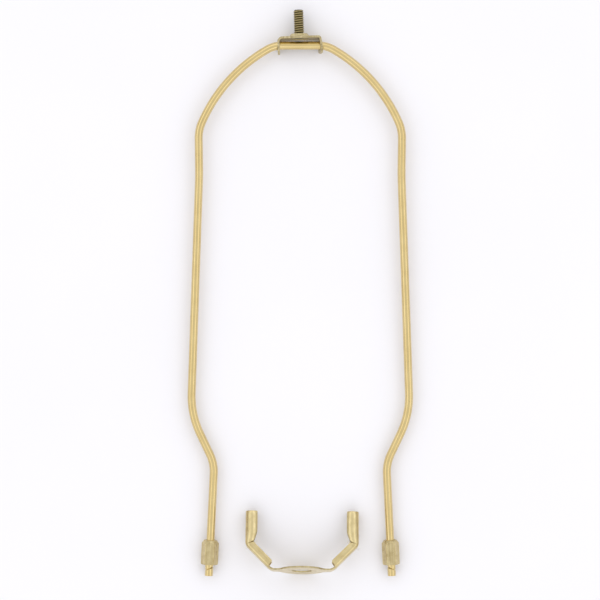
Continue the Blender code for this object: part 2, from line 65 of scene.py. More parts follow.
joints = {joint["name"]: joint for joint in frame["joints"]}
mounts = {mount["name"]: mount for mount in frame["record"]["mounts"]}
legUp = {
    "left": Vector(joints["left_sleeve_slide"]["axis"]).normalized(),
    "right": Vector(joints["right_sleeve_slide"]["axis"]).normalized(),
}
harpFrame = frameFrom(
    Vector(joints["bracket_tilt"]["pos_m"]), joints["bracket_tilt"]["axis"], legUp["left"] + legUp["right"]
)
harpOut = harpFrame.to_3x3().col[2].normalized()


# small tools

def addNode(tree, kind, sockets=None, **settings):
    node = tree.nodes.new(kind)
    for name, value in settings.items():
        setattr(node, name, value)
    for socket, value in (sockets or {}).items():
        if isinstance(value, bpy.types.NodeSocket):
            tree.links.new(value, node.inputs[socket])
        else:
            node.inputs[socket].default_value = value
    return node


def addNoise(tree, place, scale, detail, roughness=0.5):
    sockets = {"Vector": place, "Scale": scale, "Detail": detail, "Roughness": roughness}
    return addNode(tree, "ShaderNodeTexNoise", sockets).outputs["Fac"]


def addMapRange(tree, value, low, high, toLow=0.0, toHigh=1.0, **settings):
    sockets = {"Value": value, "From Min": low, "From Max": high, "To Min": toLow, "To Max": toHigh}
    return addNode(tree, "ShaderNodeMapRange", sockets, **settings).outputs["Result"]


def newMaterial(name, metallic):
    material = bpy.data.materials.new(name)
    material.use_nodes = True
    shader = material.node_tree.nodes["Principled BSDF"]
    shader.inputs["Metallic"].default_value = metallic
    return material, material.node_tree, shader


def linearColour(hexText):
    shares = [int(hexText[i:i + 2], 16) / 255 for i in (1, 3, 5)]
    return [c / 12.92 if c <= 0.04045 else ((c + 0.055) / 1.055) ** 2.4 for c in shares] + [1.0]


def easeBetween(value, low, high):
    share = min(1.0, max(0.0, (value - low) / (high - low)))
    return share * share * (3 - 2 * share)


def mixed(low, high, share):
    return low + (high - low) * share


def spaced(low, high, count):
    return [mixed(low, high, i / count) for i in range(count + 1)]


# a flat route of straight runs and bends along +X; a bend ends at the heading it names, in degrees
def walkRoute(steps, turnStep):
    place = Vector((0.0, 0.0, 0.0))
    heading = 0.0
    stations = [(place, heading)]
    for kind, size, *target in steps:
        if kind == "run":
            place = place + size * Vector((math.cos(heading), math.sin(heading), 0))
            stations.append((place, heading))
            continue
        turn = math.radians(target[0]) - heading
        toCentre = math.copysign(size, turn)
        centre = place + toCentre * Vector((-math.sin(heading), math.cos(heading), 0))
        count = max(1, math.ceil(abs(turn) / math.radians(turnStep)))
        for i in range(1, count + 1):
            faced = heading + turn * i / count
            stations.append((centre - toCentre * Vector((-math.sin(faced), math.cos(faced), 0)), faced))
        place, heading = stations[-1]
    return stations


# skins rows of (point, grain) pairs; the grain is the place on the unworked stock, in millimetres
def skinRows(work, rows, wrap=False):
    grain = work.verts.layers.float_vector.get("grain") or work.verts.layers.float_vector.new("grain")
    grid = []
    for row in rows:
        made = []
        for point, place in row:
            corner = work.verts.new(point)
            corner[grain] = place
            made.append(corner)
        grid.append(made)
    for low, high in zip(grid, grid[1:]):
        count = len(low)
        for i in range(count if wrap else count - 1):
            around = (i + 1) % count
            work.faces.new((low[i], low[around], high[around], high[i]))


def meshFrom(work, name, joinWithin=0.0005):
    bmesh.ops.remove_doubles(work, verts=work.verts, dist=joinWithin)
    bmesh.ops.dissolve_degenerate(work, edges=work.edges, dist=joinWithin / 10)
    bmesh.ops.recalc_face_normals(work, faces=work.faces)
    mesh = bpy.data.meshes.new(name)
    work.to_mesh(mesh)
    work.free()
    return mesh


# makes the finished piece: modifiers baked, mesh in its place, object at the origin
def finishPiece(name, source, place, materials, body, node, slotName):
    bpy.context.view_layer.update()
    seen = source.evaluated_get(bpy.context.evaluated_depsgraph_get())
    mesh = bpy.data.meshes.new_from_object(seen)
    mesh.name = name
    bpy.data.objects.remove(source)
    mesh.transform(place)
    work = bmesh.new()
    work.from_mesh(mesh)
    if work.calc_volume(signed=True) < 0:
        bmesh.ops.reverse_faces(work, faces=work.faces)
    work.to_mesh(mesh)
    work.free()
    # a sheet's mesh brings its finishes along, with its edges marked; the others bring none or their one
    for material in materials[len(mesh.materials):]:
        mesh.materials.append(material)
    mesh.shade_smooth()
    mesh.set_sharp_from_angle(angle=math.radians(softEdgeAngle))
    piece = bpy.data.objects.new(name, mesh)
    bpy.context.scene.collection.objects.link(piece)
    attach(piece, body)
    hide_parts(node)
    low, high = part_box(node)
    off = 0.0
    for k in range(3):
        along = [corner.co[k] for corner in mesh.vertices]
        off = max(off, abs(min(along) - low[k]), abs(max(along) - high[k]))
    print(f"{name}: {len(mesh.polygons)} faces, {off / mm:.2f} mm off the box of {node}")


def newObject(name, data):
    made = bpy.data.objects.new(name, data)
    bpy.context.scene.collection.objects.link(made)
    return made


# materials

# brass plate over drawn, rolled or pressed steel: a soft warm metal, streaked along the way it was worked,
# with faint clouds of tarnish and a few dull specks
def platedMetal(name, look):
    material, tree, shader = newMaterial(name, 1.0)
    grain = addNode(tree, "ShaderNodeAttribute", attribute_name="grain").outputs["Vector"]
    stretched = addNode(
        tree, "ShaderNodeVectorMath", {0: grain, 1: look["streaksPerMm"]}, operation="MULTIPLY"
    ).outputs[0]
    streaks = addNoise(tree, stretched, 1.0, 3.0, 0.55)
    clouds = addNoise(tree, grain, look["cloudsPerMm"], 4.0, 0.6)
    spots = addNoise(tree, grain, look["specksPerMm"], 2.0)
    specks = addMapRange(tree, spots, 0.66, 0.74, 0.0, look["speckDepth"])
    dulled = addMapRange(tree, clouds, 0.36, 0.68, 0.0, look["tarnish"])
    lined = addMapRange(tree, streaks, 0.3, 0.7, 0.0, look["lining"])
    both = addNode(tree, "ShaderNodeMath", {0: dulled, 1: lined}, operation="ADD").outputs[0]
    share = addNode(tree, "ShaderNodeMath", {0: both, 1: specks}, operation="ADD", use_clamp=True).outputs[0]
    colour = addNode(
        tree,
        "ShaderNodeMix",
        {0: share, 6: linearColour(look["bright"]), 7: linearColour(look["dull"])},
        data_type="RGBA",
    ).outputs[2]
    rough = addMapRange(tree, share, 0.0, 1.0, *look["roughness"])
    bump = addNode(
        tree,
        "ShaderNodeBump",
        {"Height": streaks, "Strength": look["relief"], "Distance": look["reliefDepth"] * mm},
    ).outputs["Normal"]
    tree.links.new(colour, shader.inputs["Base Color"])
    tree.links.new(rough, shader.inputs["Roughness"])
    tree.links.new(bump, shader.inputs["Normal"])
    return material


# drawn wire, bright plated: draw lines run along it; real ones are about 0.1 mm apart, and these are
# 0.4 mm apart so that they show
wireLook = {
    "bright": "#E3CE97",
    "dull": "#C4A96C",
    "roughness": (0.1, 0.2),
    "streaksPerMm": (2.4, 2.4, 0.035),
    "cloudsPerMm": 0.16,
    "specksPerMm": 1.1,
    "speckDepth": 0.3,
    "tarnish": 0.2,
    "lining": 0.45,
    "relief": 0.2,
    "reliefDepth": 0.02,
}

# hexagonal bar, cut and turned, dull plated: bar lines run up its flats
sleeveLook = {
    "bright": "#E0D0A2",
    "dull": "#B5A274",
    "roughness": (0.17, 0.32),
    "streaksPerMm": (1.9, 1.9, 0.05),
    "cloudsPerMm": 0.35,
    "specksPerMm": 1.6,
    "speckDepth": 0.5,
    "tarnish": 0.5,
    "lining": 0.6,
    "relief": 0.35,
    "reliefDepth": 0.02,
}

# pressed sheet, dull plated: rolling lines run along the strip and through its folds
bracketLook = {
    "bright": "#DACB9C",
    "dull": "#A8976B",
    "roughness": (0.2, 0.38),
    "streaksPerMm": (0.08, 1.7, 1.7),
    "cloudsPerMm": 0.3,
    "specksPerMm": 1.4,
    "speckDepth": 0.6,
    "tarnish": 0.55,
    "lining": 0.4,
    "relief": 0.3,
    "reliefDepth": 0.02,
}

saddleLook = {
    "bright": "#E3D3A3",
    "dull": "#BCA876",
    "roughness": (0.15, 0.34),
    "streaksPerMm": (0.07, 1.5, 1.5),
    "cloudsPerMm": 0.22,
    "specksPerMm": 1.2,
    "speckDepth": 0.5,
    "tarnish": 0.5,
    "lining": 0.4,
    "relief": 0.3,
    "reliefDepth": 0.02,
}

# sheared edge of the sheet: the plate is thin there and the surface torn across the cut; its tone is also darkened
# as painted shade, standing for the shadow on the wall of the saddle's slip hole
shearedEdgeAndShadeLook = {
    "bright": "#DDCFA5",
    # the dull tone is partly painted shade, for the shaded wall inside the slip hole
    "dull": "#A0916A",
    "roughness": (0.34, 0.56),
    "streaksPerMm": (3.0, 3.0, 3.0),
    "cloudsPerMm": 0.6,
    "specksPerMm": 2.0,
    "speckDepth": 0.6,
    "tarnish": 0.6,
    "lining": 0.6,
    "relief": 0.5,
    "reliefDepth": 0.03,
}


# bow: one length of wire through the bracket, with swaged feet

bow = {
    "wireAcross": 4.3,
    "sides": 48,
    "turnStep": 1.5,              # degrees of a bend from one station to the next
    "halfRoute": [
        ("run", 9.6),             # straight through the bracket
        ("bend", 16.3, -30),
        ("bend", 84, -66),        # crown
        ("bend", 21.5, -90.8),    # shoulder
        ("run", 16.4),
        ("bend", 120, -88),
        ("run", 113.8),           # leg
        ("bend", 47, -115.4),
        ("run", 12.1),            # jog to the feet
        ("bend", 22, -87.2),
        ("run", 54.6),            # lower leg
    ],
    "pin": 3.9,
    "pinRound": 0.4,
    "pinRoundRows": 5,
    "collarRise": 0.4,
    "collarTaper": 2.2,
    "collarLength": 11.8,
    "collarShoulder": 0.3,
    "shoulderRows": 6,
    "grooveReach": 0.42,
    "grooveDepth": 0.36,
    "grooveTilt": 22,             # degrees off square to the wire
    "grooveRows": 40,             # from the collar's foot to the pin's rounded end
}


# tree that draws a wire along an edge chain, by the chain's own thickness
def wireDrawer(material):
    tree = bpy.data.node_groups.new("wireDrawer", "GeometryNodeTree")
    sockets = tree.interface
    sockets.new_socket("Route", in_out="INPUT", socket_type="NodeSocketGeometry")
    sockets.new_socket("Wire Across", in_out="INPUT", socket_type="NodeSocketFloat")
    sockets.new_socket("Sides", in_out="INPUT", socket_type="NodeSocketInt")
    sockets.new_socket("Wire", in_out="OUTPUT", socket_type="NodeSocketGeometry")
    given = addNode(tree, "NodeGroupInput").outputs
    chain = addNode(tree, "GeometryNodeMeshToCurve", {"Mesh": given["Route"]})
    thickness = addNode(tree, "GeometryNodeInputNamedAttribute", {"Name": "thickness"}, data_type="FLOAT")
    swaged = addNode(
        tree,
        "GeometryNodeSetCurveRadius",
        {"Curve": chain.outputs["Curve"], "Radius": thickness.outputs["Attribute"]},
    )
    place = addNode(tree, "GeometryNodeSplineParameter")
    along = addNode(tree, "GeometryNodeCaptureAttribute", {"Geometry": swaged.outputs["Curve"]})
    along.capture_items.new("FLOAT", "along")
    tree.links.new(place.outputs["Length"], along.inputs[1])
    radius = addNode(
        tree, "ShaderNodeMath", {0: given["Wire Across"], 1: 0.5}, operation="MULTIPLY"
    ).outputs[0]
    ring = addNode(tree, "GeometryNodeCurvePrimitiveCircle", {"Resolution": given["Sides"], "Radius": radius})
    around = addNode(tree, "GeometryNodeCaptureAttribute", {"Geometry": ring.outputs["Curve"]})
    around.capture_items.new("FLOAT", "around")
    tree.links.new(place.outputs["Factor"], around.inputs[1])
    tube = addNode(
        tree,
        "GeometryNodeCurveToMesh",
        {"Curve": along.outputs[0], "Profile Curve": around.outputs[0], "Fill Caps": True},
    )
    angle = addNode(
        tree, "ShaderNodeMath", {0: around.outputs[1], 1: 2 * math.pi}, operation="MULTIPLY"
    ).outputs[0]
    sides = []
    for operation in ("COSINE", "SINE"):
        turned = addNode(tree, "ShaderNodeMath", {0: angle}, operation=operation).outputs[0]
        sides.append(addNode(tree, "ShaderNodeMath", {0: turned, 1: radius}, operation="MULTIPLY").outputs[0])
    grain = addNode(tree, "ShaderNodeCombineXYZ", {"X": sides[0], "Y": sides[1], "Z": along.outputs[1]})
    stored = addNode(
        tree,
        "GeometryNodeStoreNamedAttribute",
        {"Geometry": tube.outputs["Mesh"], "Name": "grain", "Value": grain.outputs[0]},
        data_type="FLOAT_VECTOR",
        domain="POINT",
    )
    real = addNode(tree, "GeometryNodeRealizeInstances", {"Geometry": stored.outputs["Geometry"]})
    dressed = addNode(
        tree, "GeometryNodeSetMaterial", {"Geometry": real.outputs["Geometry"], "Material": material}
    )
    addNode(tree, "NodeGroupOutput", {"Wire": dressed.outputs["Geometry"]})
    return tree


def runTree(source, tree, **values):
    modifier = source.modifiers.new(tree.name, "NODES")
    modifier.node_group = tree
    for item in tree.interface.items_tree:
        key = item.name.replace(" ", "")
        if item.in_out == "INPUT" and key in values:
            modifier[item.identifier] = values[key]


# heights above the pin's end and thickness against the plain wire, from the top of the collar down
def footStations():
    radius = bow["wireAcross"] / 2
    swell = (radius + bow["collarRise"]) / radius
    collarFoot = bow["pin"] + bow["collarTaper"]
    collarTop = collarFoot + bow["collarLength"]
    stations = []
    for share in spaced(0, 1, bow["shoulderRows"]):
        height = collarTop - bow["collarShoulder"] * share
        stations.append((height, mixed(1, swell, easeBetween(share, 0, 1))))
    for height in spaced(collarFoot, bow["pinRound"], bow["grooveRows"]):
        stations.append((height, mixed(1, swell, easeBetween(height, bow["pin"], collarFoot))))
    for share in spaced(0, 1, bow["pinRoundRows"])[1:]:
        rounded = bow["pinRound"] * (1 - math.cos(math.pi / 2 * share))
        stations.append((bow["pinRound"] * (1 - math.sin(math.pi / 2 * share)), 1 - rounded / radius))
    return stations


# presses a slanting groove round each foot, where its pin begins
def pressGrooves(mesh, pins):
    for side, (end, up) in pins.items():
        tilt = math.radians(bow["grooveTilt"] * (1 if side == "left" else -1))
        normal = Matrix.Rotation(tilt, 3, "Z") @ up
        middle = end + bow["pin"] * up
        for corner in mesh.vertices:
            off = abs((corner.co - middle).dot(normal))
            if off < bow["grooveReach"] and (corner.co - middle).length < bow["wireAcross"]:
                depth = bow["grooveDepth"] * (1 - easeBetween(off, 0, bow["grooveReach"]))
                away = (corner.co - middle) - (corner.co - middle).dot(up) * up
                corner.co -= depth * away.normalized()


def mirrored(point):
    return Vector((-point.x, point.y, point.z))


def makeBow(material):
    stations = walkRoute(bow["halfRoute"], bow["turnStep"])
    end, heading = stations[-1]
    up = Vector((-math.cos(heading), -math.sin(heading), 0))
    right = [(place, 1.0) for place, _ in stations[:-1]]
    right += [(end + height * up, thickness) for height, thickness in footStations()]
    whole = [(mirrored(place), thickness) for place, thickness in reversed(right[1:])] + right
    chain = bpy.data.meshes.new("bowRoute")
    chain.from_pydata([place for place, _ in whole], [(i, i + 1) for i in range(len(whole) - 1)], [])
    chain.attributes.new("thickness", "FLOAT", "POINT").data.foreach_set("value", [t for _, t in whole])
    source = newObject("bowRoute", chain)
    runTree(source, wireDrawer(material), WireAcross=bow["wireAcross"], Sides=bow["sides"])
    bpy.context.view_layer.update()
    seen = source.evaluated_get(bpy.context.evaluated_depsgraph_get())
    drawn = newObject("bowDrawn", bpy.data.meshes.new_from_object(seen))
    bpy.data.objects.remove(source)
    pins = {"left": (mirrored(end), mirrored(up)), "right": (end, up)}
    pressGrooves(drawn.data, pins)
    finishPiece("bow_wire", drawn, harpFrame, [material], "harp_frame", "harp_wire", "wire_plate")
    return pins


# sleeves: hexagonal bar, chamfered in the lathe and bored from below

sleeve = {
    "flats": 8.2,
    "length": 13.1,
    "restHeight": 6.1,       # bottom above the pin's end
    "bore": 7.4,
    "topWall": 1.0,
    "wireHole": 4.7,
    "topChamfer": 1.35,      # radial, off the corners
    "chamferSlope": 1.33,
    "footChamfer": 0.4,
    "lip": 0.15,             # small chamfers at the holes
    "cornerHardness": 26,    # exponent: a lower one rounds the bar's corners more
    "edgeHardness": 70,
    "columns": 240,
    "topBand": 0.5,          # fine rows run this far below the top chamfer
    "topRows": 26,
    "flatRows": 6,
    "footBand": 1.0,
    "footRows": 12,
    "grainApart": 40,        # keeps the two sleeves' marks different
}


def sleeveRadius(angle, height):
    apothem = sleeve["flats"] / 2
    hardness = sleeve["cornerHardness"]
    total = sum(max(0.0, math.cos(angle - math.radians(30 + 60 * k))) ** hardness for k in range(6))
    bar = apothem / total ** (1 / hardness)
    corner = apothem / math.cos(math.radians(30))
    top = corner - sleeve["topChamfer"] + (sleeve["length"] - height) / sleeve["chamferSlope"]
    foot = corner - sleeve["footChamfer"] + height
    edge = sleeve["edgeHardness"]
    return (bar ** -edge + top ** -edge + foot ** -edge) ** (-1 / edge)


def sleeveProfile():
    length, lip = sleeve["length"], sleeve["lip"]
    bore, hole = sleeve["bore"] / 2, sleeve["wireHole"] / 2
    ceiling = length - sleeve["topWall"]
    chamferFoot = length - sleeve["topChamfer"] * sleeve["chamferSlope"] - sleeve["topBand"]
    inside = [(bore + lip, 0.0), (bore, lip), (bore, ceiling - lip), (bore - lip, ceiling)]
    inside += [(hole + lip, ceiling), (hole, ceiling + lip), (hole, length - lip), (hole + lip, length)]
    heights = spaced(length, chamferFoot, sleeve["topRows"])
    heights += spaced(chamferFoot, sleeve["footBand"], sleeve["flatRows"])[1:]
    heights += spaced(sleeve["footBand"], 0.0, sleeve["footRows"])[1:]
    return inside, heights


def makeSleeve(side, pins, material):
    end, up = pins[side]
    inside, heights = sleeveProfile()
    angles = [2 * math.pi * i / sleeve["columns"] for i in range(sleeve["columns"])]
    work = bmesh.new()
    rows = []
    for radius, height in inside:
        rows.append([Vector((radius * math.cos(a), radius * math.sin(a), height)) for a in angles])
    for height in heights:
        rows.append([Vector((math.cos(a), math.sin(a), 0)) * sleeveRadius(a, height) for a in angles])
        for point in rows[-1]:
            point.z = height
    rows.append(rows[0])
    apart = Vector((0, 0, sleeve["grainApart"] * len(side)))
    skinRows(work, [[(point, point + apart) for point in row] for row in rows], wrap=True)
    source = newObject(side + "Bar", meshFrom(work, side + "Bar"))
    place = harpFrame @ Matrix.Translation(end + sleeve["restHeight"] * up)
    sideways = Vector((0, 0, 1)).cross(up)
    stand = Matrix((sideways, Vector((0, 0, 1)), up)).transposed().to_4x4()
    finishPiece(
        side + "_locking_sleeve", source, place @ stand, [material], side + "_lock", side + "_sleeve",
        "sleeve_plate",
    )


# sheets: patches of rows on the outer face, given their wall and eased edges by modifiers

def sheetPiece(name, work, outside, wall, edgeRound, place, materials, *ride):
    mesh = meshFrom(work, name)
    nearest = min(mesh.polygons, key=lambda face: (face.center - outside[0]).length)
    if nearest.normal.dot(outside[1]) < 0:
        mesh.flip_normals()
    source = newObject(name, mesh)
    for material in materials:
        mesh.materials.append(material)
    solid = source.modifiers.new("wall", "SOLIDIFY")
    solid.thickness = wall
    solid.offset = -1.0
    solid.use_even_offset = True
    # the cut rims take the second finish: the sheared edge, darkened partly as painted shade
    solid.material_offset_rim = 1
    bevel = source.modifiers.new("eased edges", "BEVEL")
    bevel.width = edgeRound
    bevel.segments = 3
    bevel.limit_method = "ANGLE"
    bevel.angle_limit = math.radians(50)
    bevel.use_clamp_overlap = False
    finishPiece(name, source, place, materials, *ride)


# ring of rows between a round hole and an outline that is seen from the hole's centre, as flat points
def ringRows(hole, outline, circles, blends, roundTo):
    rows = []
    for share in spaced(0, 1, circles):
        radius = mixed(hole, roundTo, share)
        rows.append([point.normalized() * radius for point in outline])
    for share in spaced(0, 1, blends)[1:]:
        rows.append([mixed(point.normalized() * roundTo, point, share) for point in outline])
    return rows


# swivel bracket

bracket = {
    "sheet": 1.15,
    "span": 23.5,
    "depth": 12.7,
    "wireGap": 1.25,
    "leftFold": 2.8,
    "rightFold": 1.7,
    "tabDrop": 4.6,
    "tabRound": 4.5,
    "tabTwist": 10,          # degrees at the right tab's end
    "wireHole": 5.4,
    "bossBase": 11.7,
    "bossTop": 8.4,
    "bossRise": 1.7,
    "studHole": 5.9,
    "edgeRound": 0.16,
    "columns": 12,           # on each side of the middle line
    "foldStart": 48,         # degrees round a fold where the tab's patch meets the fold's rows
    "foldRows": 12,
    "tabHoleBand": 0.35,
    "tabHoleRows": 3,
    "tabRows": 8,
    "tabSideColumns": 8,
    "tabRoundColumns": 14,
    "bossBand": 0.15,
    "bossRows": 22,
    "bossPatchRows": 4,
    "patchPast": 0.9,        # boss patch, past the strip's half depth
    "patchColumns": 28,
    "stripRows": 3,
    "grainLevel": 20.0,
}
stripUnder = bow["wireAcross"] / 2 + bracket["wireGap"]
stripTop = stripUnder + bracket["sheet"]
bossTop = stripTop + bracket["bossRise"]
studJoint = joints["stud_spin"]
studUp = Vector(studJoint["axis"]).normalized()
bracketFrame = frameFrom(
    Vector(studJoint["pos_m"]) - stripUnder * mm * studUp, studUp.cross(harpOut), studUp
)


# place on the folded strip's outer face: side is -1 or 1, height is above the wire's middle
def tabPoint(side, height, depth):
    fold = bracket["leftFold"] if side < 0 else bracket["rightFold"]
    straight = stripTop - fold
    inset = 0.0
    along = height
    if height > straight:
        angle = math.asin(min(1.0, (height - straight) / fold))
        inset = fold * (1 - math.cos(angle))
        along = straight + fold * angle
    twist = 0.0
    if side > 0:
        down = (straight - height) / (straight + bracket["tabDrop"])
        twist = math.radians(bracket["tabTwist"]) * min(1.0, max(0.0, down))
    x = side * (bracket["span"] / 2 - inset) + depth * math.sin(twist)
    grain = Vector((side * (bracket["span"] / 2 + stripTop - along), depth, bracket["grainLevel"]))
    return Vector((x, height, depth * math.cos(twist))), grain


# once round a tab, as (height, depth): along the fold, down the far side, along the end and back up
def tabOutline(top, across):
    reach = bracket["depth"] / 2
    corner = bracket["tabRound"]
    low = -bracket["tabDrop"]
    count = bracket["tabSideColumns"]
    farSide = [(mixed(top, low + corner, share), reach) for share in spaced(0, 1, count)[1:]]
    for angle in spaced(0, 90, bracket["tabRoundColumns"])[1:]:
        turn = math.radians(angle)
        farSide.append((low + corner - corner * math.sin(turn), reach - corner + corner * math.cos(turn)))
    flat = reach - corner
    points = [(top, depth) for depth in across] + farSide
    points += [(low, mixed(flat, -flat, share)) for share in spaced(0, 1, count)[1:]]
    points += [(height, -depth) for height, depth in reversed(farSide)]
    return [Vector(point) for point in points]


# place on the strip's top face, with the boss pressed up in its middle
def stripPoint(x, depth):
    base, top = bracket["bossBase"] / 2, bracket["bossTop"] / 2
    inwards = min(1, max(0, (base - math.hypot(x, depth)) / (base - top)))
    rise = bracket["bossRise"] * (1 - math.cos(math.pi * inwards)) / 2
    return Vector((x, stripTop + rise, depth)), Vector((x, depth, bracket["grainLevel"] + rise))


def makeBracket(materials):
    work = bmesh.new()
    reach = bracket["depth"] / 2
    hole = bracket["wireHole"] / 2
    across = [reach * i / bracket["columns"] for i in range(-bracket["columns"], bracket["columns"] + 1)]
    for side in (-1, 1):
        fold = bracket["leftFold"] if side < 0 else bracket["rightFold"]
        patchTop = stripTop - fold * (1 - math.sin(math.radians(bracket["foldStart"])))
        outline = tabOutline(patchTop, across)
        rows = ringRows(
            hole, outline, bracket["tabHoleRows"], bracket["tabRows"], hole + bracket["tabHoleBand"]
        )
        skinRows(work, [[tabPoint(side, point.x, point.y) for point in row] for row in rows], wrap=True)
        rows = []
        for angle in spaced(bracket["foldStart"], 90, bracket["foldRows"]):
            height = stripTop - fold * (1 - math.sin(math.radians(angle)))
            rows.append([tabPoint(side, height, depth) for depth in across])
        skinRows(work, rows)
    left = -bracket["span"] / 2 + bracket["leftFold"]
    right = bracket["span"] / 2 - bracket["rightFold"]
    patch = reach + bracket["patchPast"]
    shares = spaced(0, 1, bracket["patchColumns"])
    outline = [Vector((patch, depth)) for depth in across]
    outline += [Vector((mixed(patch, -patch, share), reach)) for share in shares[1:]]
    outline += [Vector((-patch, depth)) for depth in reversed(across[:-1])]
    outline += [Vector((mixed(-patch, patch, share), -reach)) for share in shares[1:-1]]
    bossFoot = bracket["bossBase"] / 2 + bracket["bossBand"]
    rows = ringRows(
        bracket["studHole"] / 2, outline, bracket["bossRows"], bracket["bossPatchRows"], bossFoot
    )
    skinRows(work, [[stripPoint(point.x, point.y) for point in row] for row in rows], wrap=True)
    for low, high in ((left, -patch), (patch, right)):
        stations = spaced(low, high, bracket["stripRows"])
        skinRows(work, [[stripPoint(x, depth) for depth in across] for x in stations])
    outside = (Vector((left, stripTop, 0)), Vector((0, 1, 0)))
    sheetPiece(
        "pressed_swivel_bracket", work, outside, bracket["sheet"], bracket["edgeRound"], bracketFrame,
        materials, "swivel", "swivel_bracket", "bracket_plate",
    )


# finial stud: headed blank, then the thread is rolled on it

stud = {
    "across": 5.3,
    "length": 12.7,          # above the boss
    "chamfer": 0.5,
    "headAcross": 8.6,
    "headThickness": 0.9,
    "headGap": 0.3,
    "headRound": 0.2,
    "pitch": 1.21,
    "threadDepth": 0.36,
    "threadFlank": (0.3, 0.95),    # share of the ridge's fall where the flank begins and ends
    "threadStart": 0.3,      # above the head
    "threadPast": 0.2,       # past the tip, so that the thread runs out through the chamfer
    "runOut": 0.6,
    "pole": 0.01,            # radius at the axis, merged to one point
    "rowHeight": 0.055,
    "headRoundRows": 4,
    "chamferRows": 8,
    "columns": 72,
}


def threadRoller(material):
    tree = bpy.data.node_groups.new("threadRoller", "GeometryNodeTree")
    sockets = tree.interface
    sockets.new_socket("Blank", in_out="INPUT", socket_type="NodeSocketGeometry")
    for name in ("Pitch", "Depth", "Bottom", "Top", "Run Out"):
        sockets.new_socket(name, in_out="INPUT", socket_type="NodeSocketFloat")
    sockets.new_socket("Stud", in_out="OUTPUT", socket_type="NodeSocketGeometry")
    given = addNode(tree, "NodeGroupInput").outputs

    def worked(operation, *values):
        return addNode(tree, "ShaderNodeMath", dict(enumerate(values)), operation=operation).outputs[0]

    position = addNode(tree, "GeometryNodeInputPosition").outputs[0]
    parts = addNode(tree, "ShaderNodeSeparateXYZ", {0: position}).outputs
    turns = worked("DIVIDE", worked("ARCTAN2", parts["Y"], parts["X"]), 2 * math.pi)
    phase = worked("FRACT", worked("SUBTRACT", worked("DIVIDE", parts["Z"], given["Pitch"]), turns))
    ridge = worked("ABSOLUTE", worked("MULTIPLY_ADD", phase, 2.0, -1.0))
    flank = addMapRange(tree, ridge, *stud["threadFlank"], interpolation_type="SMOOTHSTEP")
    fullFrom = worked("ADD", given["Bottom"], given["Run Out"])
    fullTo = worked("SUBTRACT", given["Top"], given["Run Out"])
    started = addMapRange(tree, parts["Z"], given["Bottom"], fullFrom)
    ended = addMapRange(tree, parts["Z"], given["Top"], fullTo)
    depth = worked("MULTIPLY", worked("MULTIPLY", flank, given["Depth"]), worked("MULTIPLY", started, ended))
    sideways = addNode(tree, "ShaderNodeCombineXYZ", {"X": parts["X"], "Y": parts["Y"]}).outputs[0]
    outward = addNode(tree, "ShaderNodeVectorMath", {0: sideways}, operation="NORMALIZE").outputs[0]
    sunk = worked("MULTIPLY", depth, -1.0)
    inward = addNode(
        tree, "ShaderNodeVectorMath", {0: outward, "Scale": sunk}, operation="SCALE"
    ).outputs[0]
    rolled = addNode(tree, "GeometryNodeSetPosition", {"Geometry": given["Blank"], "Offset": inward})
    place = addNode(tree, "GeometryNodeInputPosition").outputs[0]
    stored = addNode(
        tree,
        "GeometryNodeStoreNamedAttribute",
        {"Geometry": rolled.outputs["Geometry"], "Name": "grain", "Value": place},
        data_type="FLOAT_VECTOR",
        domain="POINT",
    )
    real = addNode(tree, "GeometryNodeRealizeInstances", {"Geometry": stored.outputs["Geometry"]})
    dressed = addNode(
        tree, "GeometryNodeSetMaterial", {"Geometry": real.outputs["Geometry"], "Material": material}
    )
    addNode(tree, "NodeGroupOutput", {"Stud": dressed.outputs["Geometry"]})
    return tree


def makeStud(material):
    radius, head = stud["across"] / 2, stud["headAcross"] / 2
    headTop = bossTop - bracket["sheet"] - stud["headGap"] - stripUnder
    headLow = headTop - stud["headThickness"]
    top = bossTop + stud["length"] - stripUnder
    easing, chamfer = stud["headRound"], stud["chamfer"]
    profile = [(stud["pole"], headLow), (head - easing, headLow)]
    for centre, turn in ((headLow + easing, 0), (headTop - easing, 90)):
        for angle in spaced(turn, turn + 90, stud["headRoundRows"]):
            swing = math.radians(angle)
            profile.append((head - easing + easing * math.sin(swing), centre - easing * math.cos(swing)))
    profile.append((radius, headTop))
    count = round((top - chamfer - headTop) / stud["rowHeight"])
    profile += [(radius, height) for height in spaced(headTop, top - chamfer, count)[1:]]
    shares = spaced(0, 1, stud["chamferRows"])[1:]
    profile += [(radius - chamfer * share, top - chamfer * (1 - share)) for share in shares]
    profile.append((stud["pole"], top))
    angles = [2 * math.pi * i / stud["columns"] for i in range(stud["columns"])]
    work = bmesh.new()
    rows = []
    for r, height in profile:
        rows.append([(Vector((r * math.cos(a), r * math.sin(a), height)), Vector((0, 0, 0))) for a in angles])
    skinRows(work, rows, wrap=True)
    for row in (work.verts[:stud["columns"]], work.verts[-stud["columns"]:]):
        bmesh.ops.pointmerge(work, verts=row, merge_co=(0, 0, row[0].co.z))
    source = newObject("studBlank", meshFrom(work, "studBlank", joinWithin=0.00001))
    runTree(
        source,
        threadRoller(material),
        Pitch=stud["pitch"],
        Depth=stud["threadDepth"],
        Bottom=headTop + stud["threadStart"],
        Top=top + stud["threadPast"],
        RunOut=stud["runOut"],
    )
    across = studUp.cross(harpOut).normalized()
    place = frameFrom(Vector(studJoint["pos_m"]), across, -harpOut)
    finishPiece("threaded_finial_stud", source, place, [material], "stud", "finial_stud", "stud_plate")


# rolled thread, plate gone dark: nearly black brown in the roots, worn to bronze along the crests
studLook = {"root": "#3A331D", "flank": "#6F633C", "crest": "#A5966A", "roughness": (0.3, 0.5)}


